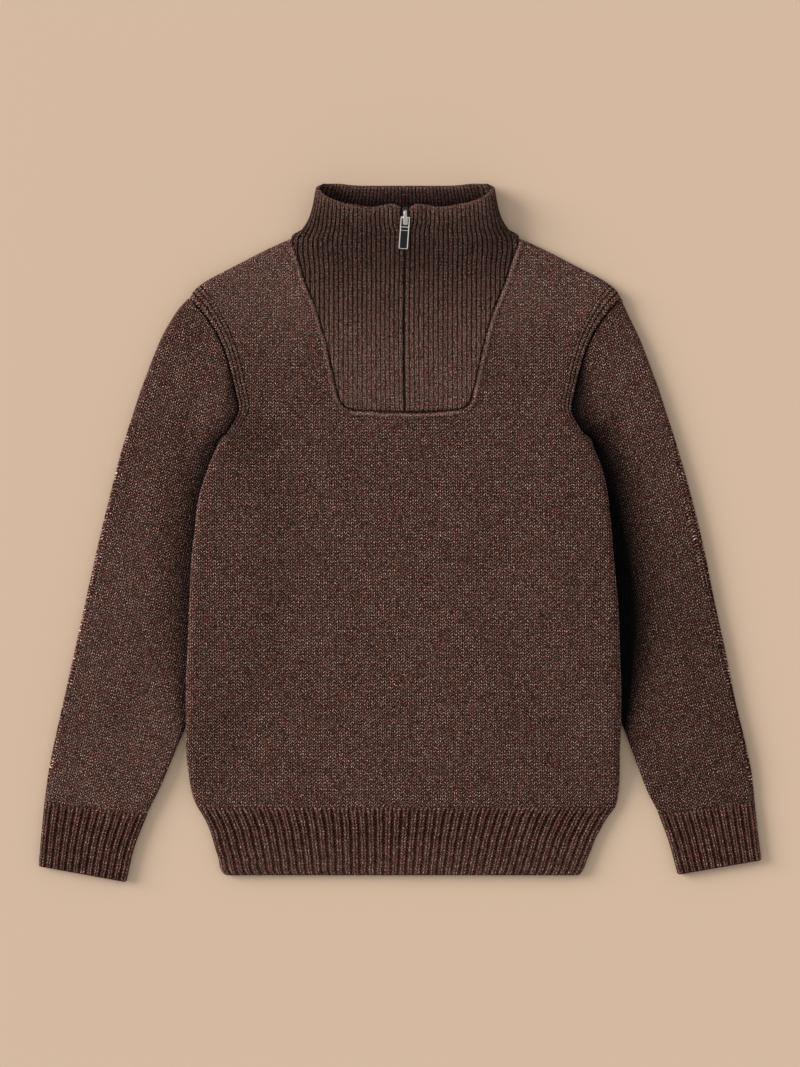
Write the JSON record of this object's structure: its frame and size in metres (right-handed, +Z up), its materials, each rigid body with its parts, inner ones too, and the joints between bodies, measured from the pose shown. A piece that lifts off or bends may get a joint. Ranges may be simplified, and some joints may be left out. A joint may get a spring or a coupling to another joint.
{
  "type": "quarter zip sweater",
  "caption": "Child's knitted quarter zip sweater laid flat, front up, with a standing rib collar, collar insert, long sleeves, rib cuffs and hem, and a metal zip pull",
  "frame": {"origin": "middle of the bounding box's underside, on the surface that the sweater lies on", "axes": "+Z up off the surface, +Y from hem to collar, +X towards the wearer's left sleeve, the viewer's right"},
  "size_m": [0.6162, 0.5942, 0.0295],
  "materials": {
    "jersey": "soft marled brown wool jersey",
    "rib": "soft marled brown wool rib",
    "zip_tape": "dark woven tape",
    "slider_metal": "black lacquered metal",
    "pull_metal": "pale warm metal frame round a dark panel"
  },
  "bodies": {
    "garment": {"front_panel": "jersey", "back_panel": "jersey", "sleeve_right": "jersey", "sleeve_left": "jersey", "cuff_right": "rib", "cuff_left": "rib", "hem_front": "rib", "hem_back": "rib", "collar": "rib", "zip_tape_right": "zip_tape", "zip_tape_left": "zip_tape", "zip_slider": "slider_metal"},
    "pull_tab": {"zip_pull": "pull_metal"}
  },
  "joints": [
    {"name": "pull_swing", "type": "hinge", "parent": "garment", "child": "pull_tab", "pos_m": [0.0045, 0.26722, 0.02639], "axis": [-0.9976, 0.0678, 0.0162], "range_deg": [0, 140]}
  ]
}
